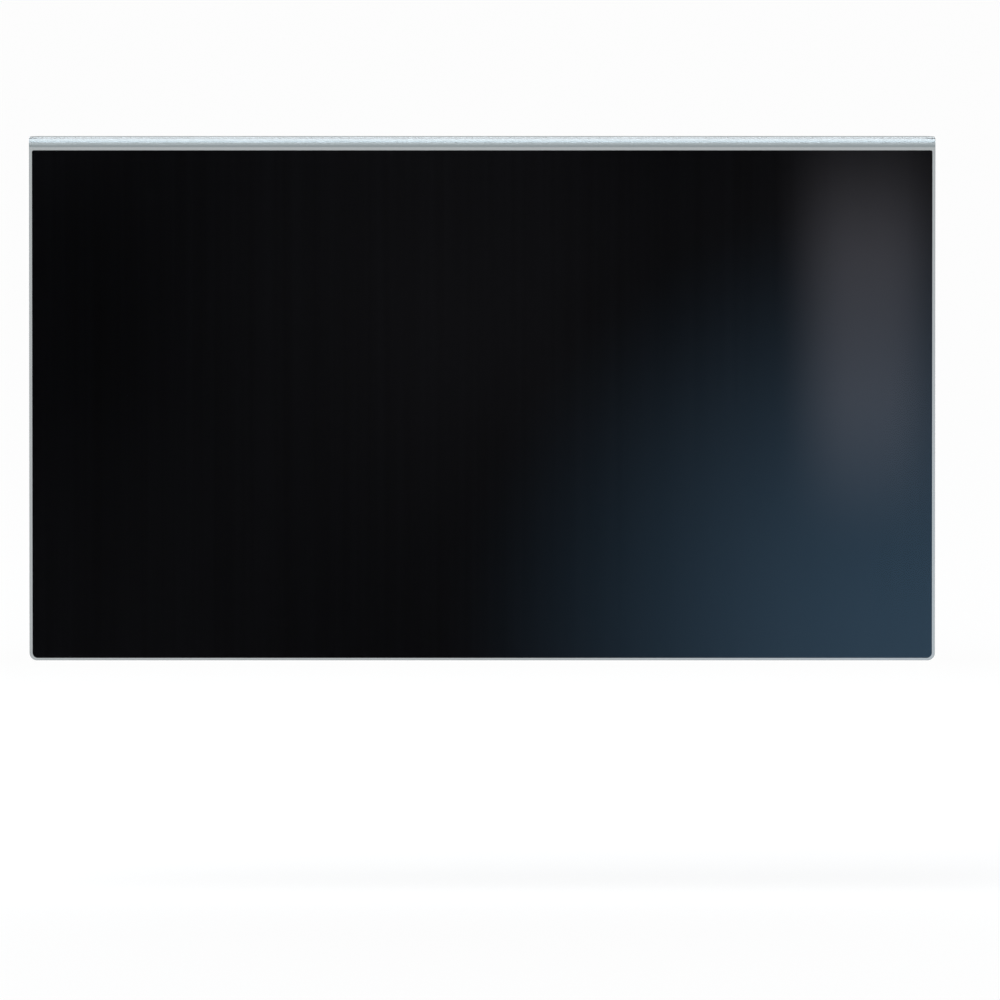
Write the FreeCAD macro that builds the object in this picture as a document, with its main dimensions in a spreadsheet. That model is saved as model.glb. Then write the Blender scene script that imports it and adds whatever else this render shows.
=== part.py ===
"""Hanging privacy filter of the 27 inch class.

One clear acrylic sheet is heated along a line and bent square, so that its top edge becomes the lip
by which the filter hangs. A dark louvre film is laminated to the flat of the sheet, on its rear
side, and stops just short of the bend and of the sheet's edges.

Frame: millimetres, +Z up, +X along the lip, +Y from the filter's front to its rear.
Origin: the middle of the lip's underside, which is the face that carries the filter.
"""

import FreeCAD
import Part
import Sketcher

import math
import os

DRIVING_SIZES = {
    "panel_width": 608.0,        # sheet, from side edge to side edge
    "panel_height": 351.0,       # from the top of the lip to the bottom edge
    "sheet_thickness": 2.0,      # acrylic sheet
    "bend_radius": 5.5,          # inside of the line bend
    "lip_depth": 30.0,           # from the front face to the lip's rear edge
    "corner_radius": 5.0,        # bottom corners of the sheet, seen from the front
    "lip_corner_radius": 9.0,    # rear corners of the lip, seen from above
    "edge_break": 0.25,          # polished chamfer along every cut edge
    "film_thickness": 0.4,       # louvre film with its adhesive
    "film_side_margin": 2.0,     # clear sheet left beside the film
    "film_bottom_margin": 1.5,   # clear sheet left below the film
    "film_bend_gap": 0.6,        # clear flat left between the bend and the film
    "film_corner_radius": 3.5,   # bottom corners of the film
    "film_top_radius": 1.2,      # top corners of the film
}

SHEET_NODE = "acrylic_panel"
FILM_NODE = "privacy_film"

# How a sketch numbers the points of a line or arc, and its own two axes, which start at its origin
START, END, CENTRE = range(1, 4)
AXIS, VERTICAL_AXIS = range(-1, -3, -1)
ORIGIN_POINT = START

QUARTER = math.pi / 2
ON_PLANE = 1e-4                  # how near a point counts as on a plane
SHARP_COSINE = 0.5               # faces whose normals agree less than this meet in a sharp edge


# Document and sheet of sizes

doc = FreeCAD.newDocument("monitor_privacy_filter")
sizes = doc.addObject("Spreadsheet::Sheet", "Sizes")
for row, (alias, size) in enumerate(DRIVING_SIZES.items(), start=1):
    sizes.set(f"A{row}", alias)
    sizes.set(f"B{row}", str(size))
    sizes.setAlias(f"B{row}", alias)
doc.recompute()


# Helpers for bodies, sketches and edges

def new_body(node):
    body = doc.addObject("PartDesign::Body", node)
    body.Label = node
    return body


def new_sketch(body, name, plane_role):
    """A sketch on one of the body's own origin planes."""
    plane = next(feature for feature in body.Origin.OriginFeatures if feature.Role == plane_role)
    sketch = body.newObject("Sketcher::SketchObject", name)
    sketch.AttachmentSupport = [(plane, "")]
    sketch.MapMode = "FlatFace"
    return sketch


def constrain(sketch, kind, *references):
    sketch.addConstraint(Sketcher.Constraint(kind, *references))


def dimension(sketch, name, expression, kind, *references):
    """A sketch dimension whose value is an expression on the sheet of sizes."""
    index = sketch.addConstraint(Sketcher.Constraint(kind, *references))
    sketch.renameConstraint(index, name)
    sketch.setExpression(f"Constraints.{name}", expression)


def line(start, end):
    return Part.LineSegment(FreeCAD.Vector(*start), FreeCAD.Vector(*end))


def edge_names(shape, wanted):
    return [f"Edge{number}" for number, edge in enumerate(shape.Edges, start=1) if wanted(edge)]


def lies_on(edge, axis, place):
    """True where both ends of the edge have this coordinate."""
    return all(abs(vertex.Point[axis] - place) < ON_PLANE for vertex in edge.Vertexes)


def is_sharp(shape, edge):
    """True where the two faces beside the edge meet at an angle, and not smoothly."""
    middle = edge.valueAt((edge.FirstParameter + edge.LastParameter) / 2)
    normals = []
    for face in shape.ancestorsOfType(edge, Part.Face):
        normals.append(face.normalAt(*face.Surface.parameter(middle)))
    return normals[0].dot(normals[1]) < SHARP_COSINE


# Acrylic sheet: the bent section, drawn in the YZ plane and padded along the lip

def bent_section(body):
    """Section of the sheet: lip, bend with one centre for both radii, and flat panel."""
    thickness = DRIVING_SIZES["sheet_thickness"]
    inner = DRIVING_SIZES["bend_radius"]
    half_seat = (DRIVING_SIZES["lip_depth"] - thickness - inner) / 2
    rear_side = -half_seat - inner
    front = rear_side - thickness
    bottom = thickness - DRIVING_SIZES["panel_height"]
    normal = FreeCAD.Vector(0, 0, 1)
    bend_centre = FreeCAD.Vector(-half_seat, -inner, 0)
    inner_circle = Part.Circle(bend_centre, normal, inner)
    outer_circle = Part.Circle(bend_centre, normal, inner + thickness)

    sketch = new_sketch(body, "BentSection", "YZ_Plane")
    underside = sketch.addGeometry(line((half_seat, 0, 0), (-half_seat, 0, 0)))
    inner_bend = sketch.addGeometry(Part.ArcOfCircle(inner_circle, QUARTER, 2 * QUARTER))
    back = sketch.addGeometry(line((rear_side, -inner, 0), (rear_side, bottom, 0)))
    foot = sketch.addGeometry(line((rear_side, bottom, 0), (front, bottom, 0)))
    face = sketch.addGeometry(line((front, bottom, 0), (front, -inner, 0)))
    outer_bend = sketch.addGeometry(Part.ArcOfCircle(outer_circle, QUARTER, 2 * QUARTER))
    top = sketch.addGeometry(line((-half_seat, thickness, 0), (half_seat, thickness, 0)))
    rear = sketch.addGeometry(line((half_seat, thickness, 0), (half_seat, 0, 0)))

    constrain(sketch, "Tangent", underside, END, inner_bend, START)
    constrain(sketch, "Tangent", inner_bend, END, back, START)
    constrain(sketch, "Coincident", back, END, foot, START)
    constrain(sketch, "Coincident", foot, END, face, START)
    constrain(sketch, "Tangent", face, END, outer_bend, END)
    constrain(sketch, "Tangent", outer_bend, START, top, START)
    constrain(sketch, "Coincident", top, END, rear, START)
    constrain(sketch, "Coincident", rear, END, underside, START)
    constrain(sketch, "Coincident", inner_bend, CENTRE, outer_bend, CENTRE)
    for level in (underside, foot, top):
        constrain(sketch, "Horizontal", level)
    for upright in (back, face, rear):
        constrain(sketch, "Vertical", upright)
    constrain(sketch, "Symmetric", underside, START, underside, END, AXIS, ORIGIN_POINT)

    dimension(sketch, "bend", "Sizes.bend_radius", "Radius", inner_bend, inner)
    dimension(sketch, "wall", "Sizes.sheet_thickness", "DistanceY", rear, END, rear, START, thickness)
    dimension(sketch, "depth", "Sizes.lip_depth",
              "DistanceX", face, START, rear, END, half_seat - front)
    dimension(sketch, "height", "Sizes.panel_height",
              "DistanceY", face, START, top, END, thickness - bottom)
    return sketch


def acrylic_panel():
    body = new_body(SHEET_NODE)
    blank = body.newObject("PartDesign::Pad", "BentBlank")
    blank.Profile = bent_section(body)
    blank.SideType = "Symmetric"
    blank.setExpression("Length", "Sizes.panel_width")
    doc.recompute()

    box = blank.Shape.BoundBox
    bottom_corners = body.newObject("PartDesign::Fillet", "BottomCorners")
    at_foot = edge_names(blank.Shape, lambda edge: lies_on(edge, 2, box.ZMin)
                         and (lies_on(edge, 0, box.XMin) or lies_on(edge, 0, box.XMax)))
    bottom_corners.Base = (blank, at_foot)
    bottom_corners.setExpression("Radius", "Sizes.corner_radius")
    doc.recompute()

    lip_corners = body.newObject("PartDesign::Fillet", "LipCorners")
    at_rear = edge_names(bottom_corners.Shape, lambda edge: lies_on(edge, 1, box.YMax)
                         and (lies_on(edge, 0, box.XMin) or lies_on(edge, 0, box.XMax)))
    lip_corners.Base = (bottom_corners, at_rear)
    lip_corners.setExpression("Radius", "Sizes.lip_corner_radius")
    doc.recompute()

    polished = body.newObject("PartDesign::Chamfer", "PolishedEdges")
    rim = edge_names(lip_corners.Shape, lambda edge: is_sharp(lip_corners.Shape, edge))
    polished.Base = (lip_corners, rim)
    polished.setExpression("Size", "Sizes.edge_break")
    doc.recompute()
    return body


# Louvre film: a die-cut rectangle, face to face with the rear side of the sheet

def film_outline(body):
    """Outline of the film in the plane of the sheet's rear side, before its corners are cut."""
    half_width = DRIVING_SIZES["panel_width"] / 2 - DRIVING_SIZES["film_side_margin"]
    top = -DRIVING_SIZES["bend_radius"] - DRIVING_SIZES["film_bend_gap"]
    bottom = (DRIVING_SIZES["sheet_thickness"] - DRIVING_SIZES["panel_height"]
              + DRIVING_SIZES["film_bottom_margin"])

    sketch = new_sketch(body, "FilmOutline", "XZ_Plane")
    sketch.setExpression("AttachmentOffset.Base.z",
                         "(Sizes.lip_depth - Sizes.sheet_thickness + Sizes.bend_radius) / 2")
    upper = sketch.addGeometry(line((-half_width, top, 0), (half_width, top, 0)))
    right = sketch.addGeometry(line((half_width, top, 0), (half_width, bottom, 0)))
    lower = sketch.addGeometry(line((half_width, bottom, 0), (-half_width, bottom, 0)))
    left = sketch.addGeometry(line((-half_width, bottom, 0), (-half_width, top, 0)))
    sides = (upper, right, lower, left)
    for side, following in zip(sides, sides[1:] + sides[:1]):
        constrain(sketch, "Coincident", side, END, following, START)
    constrain(sketch, "Symmetric", upper, START, upper, END, VERTICAL_AXIS)
    constrain(sketch, "Vertical", right)
    constrain(sketch, "Vertical", left)
    constrain(sketch, "Horizontal", lower)
    dimension(sketch, "width", "Sizes.panel_width - 2 * Sizes.film_side_margin",
              "DistanceX", upper, START, upper, END, 2 * half_width)
    dimension(sketch, "top_edge", "Sizes.bend_radius + Sizes.film_bend_gap",
              "DistanceY", upper, START, AXIS, ORIGIN_POINT, -top)
    dimension(sketch, "bottom_edge",
              "Sizes.panel_height - Sizes.sheet_thickness - Sizes.film_bottom_margin",
              "DistanceY", lower, START, AXIS, ORIGIN_POINT, -bottom)
    return sketch


def privacy_film():
    body = new_body(FILM_NODE)
    layer = body.newObject("PartDesign::Pad", "FilmLayer")
    layer.Profile = film_outline(body)
    layer.Reversed = True
    layer.setExpression("Length", "Sizes.film_thickness")
    doc.recompute()

    box = layer.Shape.BoundBox
    previous = layer
    corners = (("BottomCut", box.ZMin, "Sizes.film_corner_radius"),
               ("TopCut", box.ZMax, "Sizes.film_top_radius"))
    for name, level, radius in corners:
        cut = body.newObject("PartDesign::Fillet", name)
        at_level = edge_names(previous.Shape, lambda edge: lies_on(edge, 2, level)
                              and (lies_on(edge, 0, box.XMin) or lies_on(edge, 0, box.XMax)))
        cut.Base = (previous, at_level)
        cut.setExpression("Radius", radius)
        doc.recompute()
        previous = cut
    return body


# Build, test and write

bodies = [acrylic_panel(), privacy_film()]
doc.recompute()

for item in doc.Objects:
    if "Invalid" in item.State or "Error" in item.State:
        raise RuntimeError(f"{item.Name} failed: {item.State}")
for body in bodies:
    if body.Shape.isNull() or not body.Shape.isValid() or len(body.Shape.Solids) != 1:
        raise RuntimeError(f"{body.Label} is not one valid solid")

os.makedirs("parts", exist_ok=True)
for body in bodies:
    body.Shape.exportStep(f"parts/{body.Label}.step")
    box = body.Shape.BoundBox
    print(f"{body.Label}: {box.XLength:.2f} x {box.YLength:.2f} x {box.ZLength:.2f} mm, "
          f"{body.Shape.Volume / 1000:.2f} cm3")
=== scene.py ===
import math

import bmesh
import bpy
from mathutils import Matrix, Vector


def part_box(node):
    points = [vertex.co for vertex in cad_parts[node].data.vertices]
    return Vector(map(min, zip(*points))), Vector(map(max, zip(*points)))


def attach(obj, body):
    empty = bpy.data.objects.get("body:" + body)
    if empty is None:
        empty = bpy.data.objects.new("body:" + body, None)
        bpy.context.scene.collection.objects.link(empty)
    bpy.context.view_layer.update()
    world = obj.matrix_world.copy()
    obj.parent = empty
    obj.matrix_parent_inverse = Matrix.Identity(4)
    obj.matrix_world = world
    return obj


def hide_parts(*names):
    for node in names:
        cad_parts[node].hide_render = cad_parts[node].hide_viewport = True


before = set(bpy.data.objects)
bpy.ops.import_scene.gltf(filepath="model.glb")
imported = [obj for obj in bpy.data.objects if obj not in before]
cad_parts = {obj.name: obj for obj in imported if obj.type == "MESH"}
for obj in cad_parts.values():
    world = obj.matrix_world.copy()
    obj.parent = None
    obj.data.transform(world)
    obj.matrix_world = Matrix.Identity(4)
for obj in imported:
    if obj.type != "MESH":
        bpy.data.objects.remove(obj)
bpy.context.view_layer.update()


# Acrylic sheet
# One clear cast sheet, sawn to size, its edges polished. It is heated along a line and bent square,
# so the top becomes the lip by which the filter hangs. Both sides of the bend share one axis.

BEND_INNER_RADIUS = 0.0055
BEND_STEPS = 24
BOTTOM_CORNER_RADIUS = 0.005
LIP_CORNER_RADIUS = 0.009
CORNER_STEPS = 12
Y_AXIS, Z_AXIS = 1, 2
SAME_LEVEL = 1e-6
EDGE_BREAK = 0.00025
EDGE_BREAK_STEPS = 2
SHARP_ANGLE = math.radians(25.0)

ACRYLIC_TINT = (0.43, 0.457, 0.465, 1.0)
ACRYLIC_IOR = 1.49
WIPING_SCALE, WIPING_DETAIL, WIPING_STRETCH = 14.0, 3.0, (1.0, 1.0, 0.35)
WIPING_SMOOTH, WIPING_DULL = 0.012, 0.045
SAW_SCALE, SAW_DETAIL = 900.0, 2.0
SAW_SMOOTH, SAW_DULL = 0.06, 0.22
NOISE_USUAL_LOW, NOISE_USUAL_HIGH = 0.3, 0.7

sheet_low, sheet_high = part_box("acrylic_panel")
film_low, film_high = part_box("privacy_film")
sheet_thickness = film_low.y - sheet_low.y
bend_radius = BEND_INNER_RADIUS + sheet_thickness
bend_axis = Vector((0.0, sheet_low.y + bend_radius, sheet_high.z - bend_radius))


def new_material(name):
    """A new Principled material: the material, its shader and its Object coordinates."""
    material = bpy.data.materials.new(name)
    material.use_nodes = True
    shader = material.node_tree.nodes["Principled BSDF"]
    place = material.node_tree.nodes.new("ShaderNodeTexCoord")
    return material, shader, place.outputs["Object"]


def grain(material, place, scale, detail, low, high, stretch=(1.0, 1.0, 1.0)):
    """Noise between two values, at a scale of so many features a metre along each axis."""
    nodes, links = material.node_tree.nodes, material.node_tree.links
    mapping = nodes.new("ShaderNodeMapping")
    mapping.inputs["Scale"].default_value = stretch
    noise = nodes.new("ShaderNodeTexNoise")
    noise.inputs["Scale"].default_value = scale
    noise.inputs["Detail"].default_value = detail
    spread = nodes.new("ShaderNodeMapRange")
    spread.inputs["From Min"].default_value = NOISE_USUAL_LOW
    spread.inputs["From Max"].default_value = NOISE_USUAL_HIGH
    spread.inputs["To Min"].default_value = low
    spread.inputs["To Max"].default_value = high
    links.new(place, mapping.inputs["Vector"])
    links.new(mapping.outputs["Vector"], noise.inputs["Vector"])
    links.new(noise.outputs["Fac"], spread.inputs["Value"])
    return spread.outputs["Result"]


def clear_acrylic(name):
    """Clear, faintly grey acrylic, whose gloss is still to be set."""
    material, shader, place = new_material(name)
    shader.inputs["Base Color"].default_value = ACRYLIC_TINT
    shader.inputs["Transmission Weight"].default_value = 1.0
    shader.inputs["IOR"].default_value = ACRYLIC_IOR
    return material, shader, place


def polished_acrylic():
    """Faces of the sheet: glossy, with a trace of long wiping marks."""
    material, shader, place = clear_acrylic("polished_acrylic")
    wiping = grain(material, place, WIPING_SCALE, WIPING_DETAIL, WIPING_SMOOTH, WIPING_DULL,
                   WIPING_STRETCH)
    material.node_tree.links.new(wiping, shader.inputs["Roughness"])
    return material


def cut_edge():
    """Sawn and polished edges of the sheet: a fine trace of the saw, a little duller."""
    material, shader, place = clear_acrylic("cut_edge")
    sawing = grain(material, place, SAW_SCALE, SAW_DETAIL, SAW_SMOOTH, SAW_DULL)
    material.node_tree.links.new(sawing, shader.inputs["Roughness"])
    return material


def outward(point):
    """Normal of the sheet's outer side: forwards on the panel, round the bend, and up on the lip."""
    if point.z <= bend_axis.z:
        return Vector((0.0, -1.0, 0.0))
    if point.y >= bend_axis.y:
        return Vector((0.0, 0.0, 1.0))
    return Vector((0.0, point.y - bend_axis.y, point.z - bend_axis.z)).normalized()


def round_corners(bm, level_axis, level, radius):
    """Rounds the outline's two corners that lie at this level."""
    level_with = [v for v in bm.verts if abs(v.co[level_axis] - level) < SAME_LEVEL]
    corners = [v for v in level_with if len(v.link_edges) == 2]
    bmesh.ops.bevel(bm, geom=corners, offset=radius, offset_type="OFFSET", segments=CORNER_STEPS,
                    profile=0.5, affect="VERTICES", material=-1)


def of_kind(geometry, kind):
    """The vertices, the edges or the faces among what an operator gives back."""
    return [item for item in geometry if isinstance(item, kind)]


def finished(name, bm, materials):
    """Turns a bmesh into a piece of the object, smooth between its sharp edges."""
    bmesh.ops.recalc_face_normals(bm, faces=bm.faces[:])
    mesh = bpy.data.meshes.new(name)
    bm.to_mesh(mesh)
    bm.free()
    for material in materials:
        mesh.materials.append(material)
    mesh.shade_smooth()
    mesh.set_sharp_from_angle(angle=SHARP_ANGLE)
    piece = bpy.data.objects.new(name, mesh)
    bpy.context.collection.objects.link(piece)
    even = piece.modifiers.new("flat_faces_stay_flat", "WEIGHTED_NORMAL")
    even.keep_sharp = True
    return piece


def bent_sheet():
    """The outer side first: panel, bend and lip. Then the inner side and the polished edges."""
    bm = bmesh.new()
    panel = [
        bm.verts.new((sheet_low.x, sheet_low.y, sheet_low.z)),
        bm.verts.new((sheet_high.x, sheet_low.y, sheet_low.z)),
        bm.verts.new((sheet_high.x, sheet_low.y, bend_axis.z)),
        bm.verts.new((sheet_low.x, sheet_low.y, bend_axis.z)),
    ]
    bm.faces.new(panel)
    bend_start = [bm.edges.get((panel[2], panel[3])), panel[2], panel[3]]
    bent = bmesh.ops.spin(bm, geom=bend_start, cent=bend_axis, axis=(1.0, 0.0, 0.0),
                          angle=-math.pi / 2, steps=BEND_STEPS, use_duplicate=False)
    bend_end = of_kind(bent["geom_last"], bmesh.types.BMEdge)
    lip = bmesh.ops.extrude_edge_only(bm, edges=bend_end)
    lip_end = of_kind(lip["geom"], bmesh.types.BMVert)
    bmesh.ops.translate(bm, verts=lip_end, vec=(0.0, sheet_high.y - bend_axis.y, 0.0))
    round_corners(bm, Z_AXIS, sheet_low.z, BOTTOM_CORNER_RADIUS)
    round_corners(bm, Y_AXIS, sheet_high.y, LIP_CORNER_RADIUS)

    outer = bm.faces[:]
    behind = bmesh.ops.extrude_face_region(bm, geom=outer, use_keep_orig=True)
    inner = of_kind(behind["geom"], bmesh.types.BMFace)
    for vertex in of_kind(behind["geom"], bmesh.types.BMVert):
        vertex.co -= outward(vertex.co) * sheet_thickness
    sides = set(outer) | set(inner)
    for face in bm.faces:
        face.material_index = 0 if face in sides else 1
    arrises = [edge for edge in bm.edges if len(sides.intersection(edge.link_faces)) == 1]
    bmesh.ops.recalc_face_normals(bm, faces=bm.faces[:])
    bmesh.ops.bevel(bm, geom=arrises, offset=EDGE_BREAK, offset_type="OFFSET",
                    segments=EDGE_BREAK_STEPS, profile=0.5, affect="EDGES", material=-1)
    return finished("bent_acrylic_sheet", bm, [polished_acrylic(), cut_edge()])


sheet = bent_sheet()
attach(sheet, "root")
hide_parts("acrylic_panel")


# Louvre film
# A dark film of fine upright louvres with an adhesive face, die-cut to a rounded rectangle and
# laminated without air to the flat of the sheet, on its rear side.

FILM_CORNER_RADIUS = 0.0035
FILM_TOP_RADIUS = 0.0012
BOND_DEPTH = 0.00002

FILM_BLACK = (0.0055, 0.0054, 0.0062, 1.0)
BONDED_STREAK = (0.0085, 0.0085, 0.0102, 1.0)
BACK_STREAK = (0.016, 0.016, 0.0175, 1.0)
STREAK_SCALE, STREAK_DETAIL, STREAK_STRETCH = 220.0, 2.0, (1.0, 1.0, 0.01)
BONDED_ROUGHNESS = 0.9
SATIN_SCALE, SATIN_DETAIL, SATIN_STRETCH = 40.0, 4.0, (1.0, 1.0, 0.15)
SATIN_SMOOTH, SATIN_DULL = 0.26, 0.40


def streaked_black(material, shader, place, streak):
    """Black with faint upright streaks, as the louvres inside the film run."""
    mix = material.node_tree.nodes.new("ShaderNodeMix")
    mix.data_type = "RGBA"
    mix.inputs["A"].default_value = FILM_BLACK
    mix.inputs["B"].default_value = streak
    links = material.node_tree.links
    louvres = grain(material, place, STREAK_SCALE, STREAK_DETAIL, 0.0, 1.0, STREAK_STRETCH)
    links.new(louvres, mix.inputs["Factor"])
    links.new(mix.outputs["Result"], shader.inputs["Base Color"])


def bonded_film():
    """The film seen through the sheet: no gloss of its own, because no air lies between them."""
    material, shader, place = new_material("bonded_film")
    streaked_black(material, shader, place, BONDED_STREAK)
    shader.inputs["Specular IOR Level"].default_value = 0.0
    shader.inputs["Roughness"].default_value = BONDED_ROUGHNESS
    return material


def film_back():
    """The free side of the film: satin, a little smoother along the louvres in places."""
    material, shader, place = new_material("film_back")
    streaked_black(material, shader, place, BACK_STREAK)
    satin = grain(material, place, SATIN_SCALE, SATIN_DETAIL, SATIN_SMOOTH, SATIN_DULL,
                  SATIN_STRETCH)
    material.node_tree.links.new(satin, shader.inputs["Roughness"])
    return material


def die_cut_film():
    """A thin rounded layer: its bonded face in front, its free side and its edge satin."""
    bm = bmesh.new()
    front = film_low.y - BOND_DEPTH
    outline = [
        bm.verts.new((film_low.x, front, film_low.z)),
        bm.verts.new((film_high.x, front, film_low.z)),
        bm.verts.new((film_high.x, front, film_high.z)),
        bm.verts.new((film_low.x, front, film_high.z)),
    ]
    bm.faces.new(outline)
    round_corners(bm, Z_AXIS, film_low.z, FILM_CORNER_RADIUS)
    round_corners(bm, Z_AXIS, film_high.z, FILM_TOP_RADIUS)
    bonded = bm.faces[:]
    layer = bmesh.ops.extrude_face_region(bm, geom=bonded, use_keep_orig=True)
    free_side = of_kind(layer["geom"], bmesh.types.BMVert)
    bmesh.ops.translate(bm, verts=free_side, vec=(0.0, film_high.y - front, 0.0))
    for face in bm.faces:
        face.material_index = 0 if face in bonded else 1
    return finished("die_cut_film", bm, [bonded_film(), film_back()])


film = die_cut_film()
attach(film, "root")
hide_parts("privacy_film")


# Floor and surround
# A white floor below the hanging filter, white all round it, and far off a low wall that shows only
# mirrored or through the sheet: its grey rim as the line along the lip, its grey foot as the shade in
# the bend. A soft sun lays the filter's shadow on the floor.

FLOOR_DROP = 0.157
FLOOR_REACH = 25.0
STAGE_SEGMENTS = 96
SURROUND_COLOUR = (1.0, 1.0, 1.0, 1.0)
FLOOR_COLOUR = (0.90, 0.90, 0.90, 1.0)
FLOOR_WHITENING = 0.8
WALL_REACH = 14.5
WALL_HEIGHT = 1.55
WALL_COLOUR = (0.92, 0.98, 1.0, 1.0)
WALL_FOOT_RADIANCE, WALL_PALE_RADIANCE = 0.72, 1.05
WALL_PALE_START, WALL_PALE_FULL = 0.25, 1.20
WALL_RIM_START, WALL_RIM_FULL, WALL_RIM_SHARE = 1.17, 1.23, 0.49
ROOM_LIGHT = 0.45
SUN_STRENGTH = 2.0
SUN_ANGLE = math.radians(50.0)
SUN_FROM = Vector((-0.45, -0.35, 1.0))

floor_level = sheet_low.z - FLOOR_DROP


def calculated(tree, operation, *values):
    """The result of one sum, whose values are numbers or the sockets that give them."""
    node = tree.nodes.new("ShaderNodeMath")
    node.operation = operation
    for socket, value in zip(node.inputs, values):
        if isinstance(value, bpy.types.NodeSocket):
            tree.links.new(value, socket)
        else:
            socket.default_value = value
    return node.outputs["Value"]


def seen_as_background(tree):
    """One for what the camera sees, straight, mirrored or through the clear sheet, and else zero."""
    path = tree.nodes.new("ShaderNodeLightPath")
    mirrored = calculated(tree, "MAXIMUM", path.outputs["Is Camera Ray"],
                          path.outputs["Is Glossy Ray"])
    return calculated(tree, "MAXIMUM", mirrored, path.outputs["Is Transmission Ray"])


def mixed(tree, share, first, second):
    """A mix of two shaders, by the share that the second one has."""
    mix = tree.nodes.new("ShaderNodeMixShader")
    tree.links.new(share, mix.inputs["Fac"])
    tree.links.new(first, mix.inputs[1])
    tree.links.new(second, mix.inputs[2])
    return mix.outputs["Shader"]


def stage_material(name):
    """A material with nothing in it yet but its output: the material, its tree and its surface."""
    material = bpy.data.materials.new(name)
    material.use_nodes = True
    tree = material.node_tree
    tree.nodes.clear()
    output = tree.nodes.new("ShaderNodeOutputMaterial")
    return material, tree, output.inputs["Surface"]


def white_floor():
    """Matt white, brought near full white for the eye, so that it keeps only a soft shadow."""
    material, tree, surface = stage_material("white_floor")
    matt = tree.nodes.new("ShaderNodeBsdfDiffuse")
    matt.inputs["Color"].default_value = FLOOR_COLOUR
    white = tree.nodes.new("ShaderNodeEmission")
    share = calculated(tree, "MULTIPLY", seen_as_background(tree), FLOOR_WHITENING)
    tree.links.new(mixed(tree, share, matt.outputs["BSDF"], white.outputs["Emission"]), surface)
    return material


def eased(tree, value, start, stop, at_start, at_stop):
    """A value carried smoothly from one level to another."""
    ease = tree.nodes.new("ShaderNodeMapRange")
    ease.interpolation_type = "SMOOTHSTEP"
    ease.inputs["From Min"].default_value = start
    ease.inputs["From Max"].default_value = stop
    ease.inputs["To Min"].default_value = at_start
    ease.inputs["To Max"].default_value = at_stop
    tree.links.new(value, ease.inputs["Value"])
    return ease.outputs["Result"]


def placed(tree):
    """Object coordinates, as a whole and axis by axis."""
    place = tree.nodes.new("ShaderNodeTexCoord").outputs["Object"]
    axes = tree.nodes.new("ShaderNodeSeparateXYZ")
    tree.links.new(place, axes.inputs["Vector"])
    return place, axes.outputs["X"], axes.outputs["Y"], axes.outputs["Z"]


def glow(tree, colour, strength):
    """Light of one colour, whose strength varies over the surface."""
    light = tree.nodes.new("ShaderNodeEmission")
    light.inputs["Color"].default_value = colour
    tree.links.new(strength, light.inputs["Strength"])
    return light.outputs["Emission"]


def paling_wall():
    """Grey at its foot, paler upwards, and grey again along its rim."""
    material, tree, surface = stage_material("paling_wall")
    _, _, _, z = placed(tree)
    height = calculated(tree, "SUBTRACT", z, floor_level)
    paler = eased(tree, height, WALL_PALE_START, WALL_PALE_FULL,
                  WALL_FOOT_RADIANCE, WALL_PALE_RADIANCE)
    rim = eased(tree, height, WALL_RIM_START, WALL_RIM_FULL, 1.0, WALL_RIM_SHARE)
    tree.links.new(glow(tree, WALL_COLOUR, calculated(tree, "MULTIPLY", paler, rim)), surface)
    material.cycles.emission_sampling = "NONE"
    return material


def add_stage(name, bm, material):
    """Puts a stage mesh into the scene, with nothing riding on it."""
    mesh = bpy.data.meshes.new(name)
    bm.to_mesh(mesh)
    bm.free()
    mesh.materials.append(material)
    thing = bpy.data.objects.new(name, mesh)
    bpy.context.collection.objects.link(thing)
    return thing


bm = bmesh.new()
bmesh.ops.create_circle(bm, cap_ends=True, radius=FLOOR_REACH, segments=STAGE_SEGMENTS)
bmesh.ops.translate(bm, verts=bm.verts[:], vec=(0.0, 0.0, floor_level))
add_stage("floor", bm, white_floor())

bm = bmesh.new()
bmesh.ops.create_circle(bm, cap_ends=False, radius=WALL_REACH, segments=STAGE_SEGMENTS)
bmesh.ops.translate(bm, verts=bm.verts[:], vec=(0.0, 0.0, floor_level))
raised = bmesh.ops.extrude_edge_only(bm, edges=bm.edges[:])
wall_top = of_kind(raised["geom"], bmesh.types.BMVert)
bmesh.ops.translate(bm, verts=wall_top, vec=(0.0, 0.0, WALL_HEIGHT))
wall = add_stage("low_wall", bm, paling_wall())
wall.visible_camera = False
wall.visible_diffuse = False
wall.visible_shadow = False

world = bpy.data.worlds.new("surround")
bpy.context.scene.world = world
world.use_nodes = True
tree = world.node_tree
background = tree.nodes["Background"]
background.inputs["Color"].default_value = SURROUND_COLOUR
strength = calculated(tree, "MAXIMUM", seen_as_background(tree), ROOM_LIGHT)
tree.links.new(strength, background.inputs["Strength"])

sun_data = bpy.data.lights.new("soft_sun", "SUN")
sun_data.energy = SUN_STRENGTH
sun_data.angle = SUN_ANGLE
sun = bpy.data.objects.new("soft_sun", sun_data)
sun.rotation_euler = SUN_FROM.to_track_quat("Z", "Y").to_euler()
bpy.context.collection.objects.link(sun)


# Lamps behind the bend
# A pale lamp above and behind the filter, whose light the clear bend gathers into the bright band along
# the top, and a mat of light on the floor behind, which the underside of the lip mirrors just below
# that band. Both fade out towards their edges, so that the sheet shows no hard line.

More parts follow.
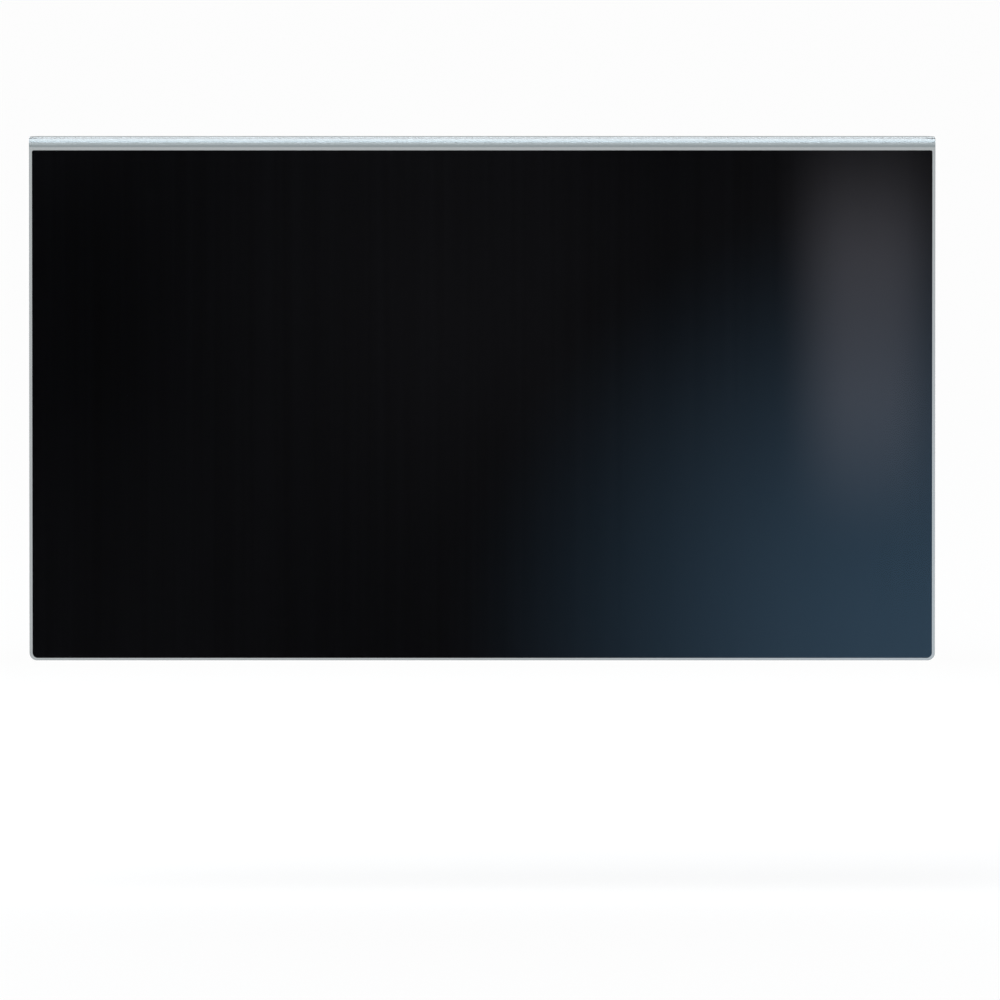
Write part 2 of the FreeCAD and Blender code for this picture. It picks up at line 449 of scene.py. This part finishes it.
LAMP_PLACE = Vector((0.0, 1.27, 0.80))
LAMP_HALF_SIZE = (1.5, 0.805, 1.0)
LAMP_LOW_END, LAMP_LOW_RADIANCE = -0.6, 2.6
LAMP_HIGH_START, LAMP_HIGH_RADIANCE = -0.2, 1.12
MAT_LIFT = 0.002
MAT_PLACE = Vector((0.0, 5.2, floor_level + MAT_LIFT))
MAT_HALF_SIZE = (1.5, 3.4, 1.0)
MAT_NEAR_END, MAT_NEAR_RADIANCE = -0.75, 1.75
MAT_FAR_START, MAT_FAR_RADIANCE = 0.4, 1.2
LAMP_COLOUR = (0.76, 0.90, 1.0, 1.0)
LAMP_FADE_ALONG = 0.4
LAMP_FADE_ACROSS = 0.85


def apart(tree, value, middle):
    """How far a coordinate lies to either side of a middle."""
    return calculated(tree, "ABSOLUTE", calculated(tree, "SUBTRACT", value, middle))


def added(tree, first, second):
    """Two shaders, one on top of the other."""
    both = tree.nodes.new("ShaderNodeAddShader")
    tree.links.new(first, both.inputs[0])
    tree.links.new(second, both.inputs[1])
    return both.outputs["Shader"]


def lamp_face(name, first_end, first_radiance, second_start, second_radiance):
    """Light that goes from one level to another across the lamp, and fades out towards its edges."""
    material, tree, surface = stage_material(name)
    _, along, across, _ = placed(tree)
    middle = eased(tree, apart(tree, along, 0.0), LAMP_FADE_ALONG, 1.0, 1.0, 0.0)
    inside = eased(tree, apart(tree, across, 0.0), LAMP_FADE_ACROSS, 1.0, 1.0, 0.0)
    level = eased(tree, across, first_end, second_start, first_radiance, second_radiance)
    faded = calculated(tree, "MULTIPLY", middle, inside)
    light = glow(tree, LAMP_COLOUR, calculated(tree, "MULTIPLY", level, faded))
    clear = tree.nodes.new("ShaderNodeBsdfTransparent")
    tree.links.new(added(tree, light, clear.outputs["BSDF"]), surface)
    return material


def flat_lamp(name, half_size, place, face):
    """A lamp with one flat face, which the camera doesn't see."""
    bm = bmesh.new()
    bmesh.ops.create_grid(bm, x_segments=1, y_segments=1, size=1.0)
    lamp = add_stage(name, bm, face)
    lamp.scale = half_size
    lamp.location = place
    lamp.visible_camera = False
    return lamp


lamp_light = lamp_face("lamp_face", LAMP_LOW_END, LAMP_LOW_RADIANCE,
                       LAMP_HIGH_START, LAMP_HIGH_RADIANCE)
lamp = flat_lamp("lamp_behind", LAMP_HALF_SIZE, LAMP_PLACE, lamp_light)
lamp.rotation_euler = LAMP_PLACE.to_track_quat("Z", "Y").to_euler()

mat_light = lamp_face("mat_face", MAT_NEAR_END, MAT_NEAR_RADIANCE,
                      MAT_FAR_START, MAT_FAR_RADIANCE)
mat_light.cycles.emission_sampling = "NONE"
mat = flat_lamp("light_mat", MAT_HALF_SIZE, MAT_PLACE, mat_light)
mat.visible_diffuse = False
mat.visible_transmission = False
mat.visible_shadow = False

# Light runs along inside the clear lip and is turned back many times before it leaves
LIGHT_TURNS = 24
LIGHT_TURNS_IN_SHEET = 16
bpy.context.scene.cycles.max_bounces = LIGHT_TURNS
bpy.context.scene.cycles.glossy_bounces = LIGHT_TURNS_IN_SHEET
bpy.context.scene.cycles.transmission_bounces = LIGHT_TURNS_IN_SHEET


# Curtain in front
# A dim curtain round the front and over the floor there, which opens towards the back. Only a mirror
# shows it, so the polished panel is near black, with a bluish haze and a slim pale light to the right.

CURTAIN_RADIUS = 1.6
CURTAIN_SEGMENTS, CURTAIN_RINGS = 64, 48
CURTAIN_LIFT = 0.001
CURTAIN_CLOSED = -0.72
CURTAIN_OPEN = 0.56
CLOUD_SCALE, CLOUD_DETAIL = 3.0, 1.0
CLOUD_LOW, CLOUD_HIGH = 0.02, 0.10
PALE_COLOUR = (0.90, 0.88, 1.0, 1.0)
SIDE_START, SIDE_FULL, SIDE_GAIN = 0.45, 0.95, 9.0
SLIM_MIDDLE_X, SLIM_MIDDLE_Z = 0.283, -0.22
SLIM_HALF_WIDTH, SLIM_WIDTH_FADE = 0.010, 0.060
SLIM_HALF_HEIGHT, SLIM_HEIGHT_FADE = 0.04, 0.13
SLIM_RADIANCE = 0.95
HAZE_MIDDLE = (0.33, -1.50, -0.46)
HAZE_REACH = 0.37
HAZE_RADIANCE = 1.9
HAZE_COLOUR = (0.33, 0.64, 1.0, 1.0)


def curtain_cloth():
    """Dim and cloudy, lighter at the sides, with the slim light and the haze on it."""
    material, tree, surface = stage_material("curtain_cloth")
    place, x, y, z = placed(tree)
    clouds = grain(material, place, CLOUD_SCALE, CLOUD_DETAIL, CLOUD_LOW, CLOUD_HIGH)
    sides = eased(tree, apart(tree, x, 0.0), SIDE_START, SIDE_FULL, 1.0, SIDE_GAIN)
    slim_wide = eased(tree, apart(tree, x, SLIM_MIDDLE_X), SLIM_HALF_WIDTH,
                      SLIM_HALF_WIDTH + SLIM_WIDTH_FADE, SLIM_RADIANCE, 0.0)
    slim_high = eased(tree, apart(tree, z, SLIM_MIDDLE_Z), SLIM_HALF_HEIGHT,
                      SLIM_HALF_HEIGHT + SLIM_HEIGHT_FADE, 1.0, 0.0)
    slim = calculated(tree, "MULTIPLY", slim_wide, slim_high)
    pale = calculated(tree, "MULTIPLY_ADD", clouds, sides, slim)

    away = tree.nodes.new("ShaderNodeVectorMath")
    away.operation = "DISTANCE"
    away.inputs[1].default_value = HAZE_MIDDLE
    tree.links.new(place, away.inputs[0])
    haze = eased(tree, away.outputs["Value"], 0.0, HAZE_REACH, HAZE_RADIANCE, 0.0)

    light = added(tree, glow(tree, PALE_COLOUR, pale), glow(tree, HAZE_COLOUR, haze))
    clear = tree.nodes.new("ShaderNodeBsdfTransparent")
    closed = eased(tree, y, CURTAIN_CLOSED, CURTAIN_OPEN, 1.0, 0.0)
    tree.links.new(mixed(tree, closed, clear.outputs["BSDF"], light), surface)
    material.cycles.emission_sampling = "NONE"
    return material


bm = bmesh.new()
bmesh.ops.create_uvsphere(bm, u_segments=CURTAIN_SEGMENTS, v_segments=CURTAIN_RINGS,
                          radius=CURTAIN_RADIUS)
bmesh.ops.bisect_plane(bm, geom=bm.verts[:] + bm.edges[:] + bm.faces[:], clear_inner=True,
                       plane_co=(0.0, 0.0, floor_level + CURTAIN_LIFT), plane_no=(0.0, 0.0, 1.0))
bmesh.ops.holes_fill(bm, edges=[edge for edge in bm.edges if edge.is_boundary])
curtain = add_stage("curtain_in_front", bm, curtain_cloth())
curtain.visible_camera = False
curtain.visible_diffuse = False
curtain.visible_transmission = False
curtain.visible_shadow = False


# Camera
# Far off and only a little above the lip, so that the panel keeps its square outline and the bend
# shows as a clear band along the top.

CAMERA_ELEVATION = math.radians(3.9)
CAMERA_DISTANCE = 16.0
FRAME_PIXELS = 1000.0
PANEL_PIXELS = 906.0
PANEL_CENTRE_PIXEL = (482.2, 399.5)
SENSOR_WIDTH = 36.0

metres_per_pixel = (sheet_high.x - sheet_low.x) / PANEL_PIXELS
backwards = Vector((0.0, -math.cos(CAMERA_ELEVATION), math.sin(CAMERA_ELEVATION)))
turn = (-backwards).to_track_quat("-Z", "Y")
right = turn @ Vector((1.0, 0.0, 0.0))
up = turn @ Vector((0.0, 1.0, 0.0))
lip_rear_top = Vector((0.0, sheet_high.y, sheet_high.z))
front_bottom = Vector((0.0, sheet_low.y, sheet_low.z))
panel_middle = (lip_rear_top + front_bottom) / 2
panel_middle.y = sheet_low.y
aside = FRAME_PIXELS / 2 - PANEL_CENTRE_PIXEL[0]
below = FRAME_PIXELS / 2 - PANEL_CENTRE_PIXEL[1]
target = panel_middle + (right * aside - up * below) * metres_per_pixel

camera_data = bpy.data.cameras.new("camera")
camera_data.sensor_width = SENSOR_WIDTH
camera_data.lens = SENSOR_WIDTH * CAMERA_DISTANCE / (FRAME_PIXELS * metres_per_pixel)
camera = bpy.data.objects.new("camera", camera_data)
camera.location = target + backwards * CAMERA_DISTANCE
camera.rotation_mode = "QUATERNION"
camera.rotation_quaternion = turn
bpy.context.collection.objects.link(camera)
bpy.context.scene.camera = camera
bpy.context.scene.view_settings.view_transform = "Standard"
